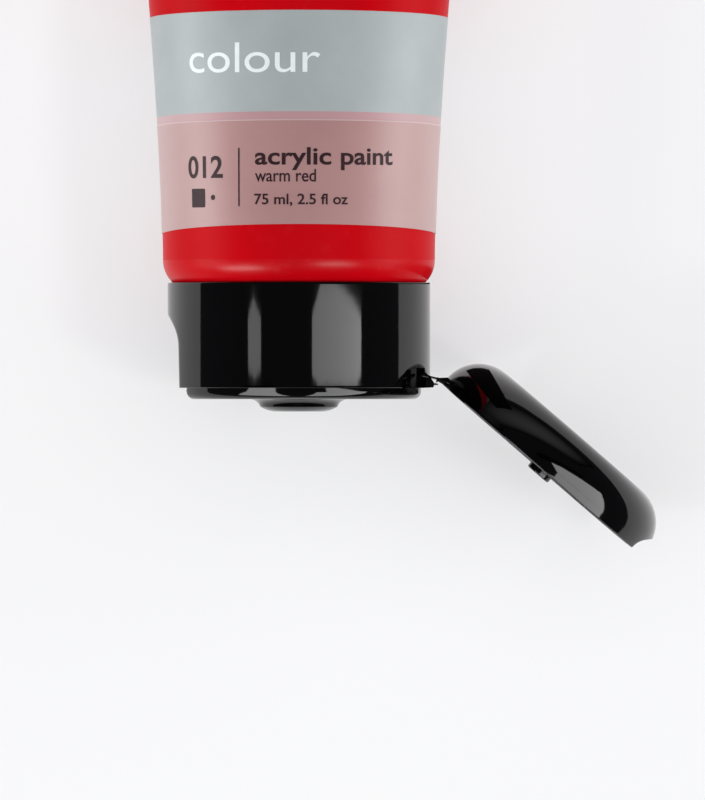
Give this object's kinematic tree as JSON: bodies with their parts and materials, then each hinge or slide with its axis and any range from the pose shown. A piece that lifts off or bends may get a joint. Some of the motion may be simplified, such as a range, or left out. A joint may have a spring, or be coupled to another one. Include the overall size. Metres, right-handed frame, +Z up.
{
  "type": "paint tube",
  "caption": "Squeeze tube of artists' paint lying on its back, with a flat welded tail, a screwed flip-top cap, a domed nozzle and the lid hinged open.",
  "frame": {"origin": "centre of the nozzle's mouth, on the cap's axis", "axes": "-Y is the way paint leaves the nozzle; +Y runs along the tube to its welded tail; +X points to the lid's hinge; +Z is up as the tube lies on its back"},
  "size_m": [0.0737, 0.1555, 0.0351],
  "materials": {
    "red_sleeve": "satin red polyethylene",
    "red_shoulder": "moulded red polyethylene",
    "grey_print": "satin grey ink",
    "label_film": "milky translucent film over red",
    "red_paint": "wet acrylic paint",
    "black_cap": "glossy black polypropylene",
    "black_hinge": "thin flexed black polypropylene",
    "clear_seal": "natural polyethylene"
  },
  "bodies": {
    "tube": {"sleeve": "red_sleeve", "shoulder": "red_shoulder", "grey_band": "grey_print", "colour_label": "label_film", "paint_fill": "red_paint"},
    "seal": {"plug_seal": "clear_seal"},
    "closure": {"cap_skirt": "black_cap", "cap_deck": "black_cap", "nozzle": "black_cap", "threaded_barrel": "black_cap", "cap_webs": "black_cap", "cap_hinge_block": "black_hinge", "hinge_film": "black_hinge", "cap_strap_tabs": "black_hinge", "catch_bead": "black_cap"},
    "lid": {"lid_shell": "black_cap", "lid_plug": "black_cap", "lid_ring": "black_cap", "lid_hinge_block": "black_hinge", "lid_strap_tabs": "black_hinge"}
  },
  "joints": [
    {"name": "cap_rise", "type": "slide", "parent": "tube", "child": "seal", "axis": [0, -1, 0], "range_m": [0, 0.0046]},
    {"name": "cap_turn", "type": "hinge", "parent": "seal", "child": "closure", "pos_m": [0, 0, 0], "axis": [0, -1, 0], "range_deg": [0, 540]},
    {"name": "lid_hinge", "type": "hinge", "parent": "closure", "child": "lid", "pos_m": [0.01755, 0.00354, 0], "axis": [0, 0, 1], "range_deg": [-139.2, 30]}
  ],
  "couplings": [
    {"joint": "cap_rise", "follows": "cap_turn", "m_per_rad": 0.00047746}
  ]
}
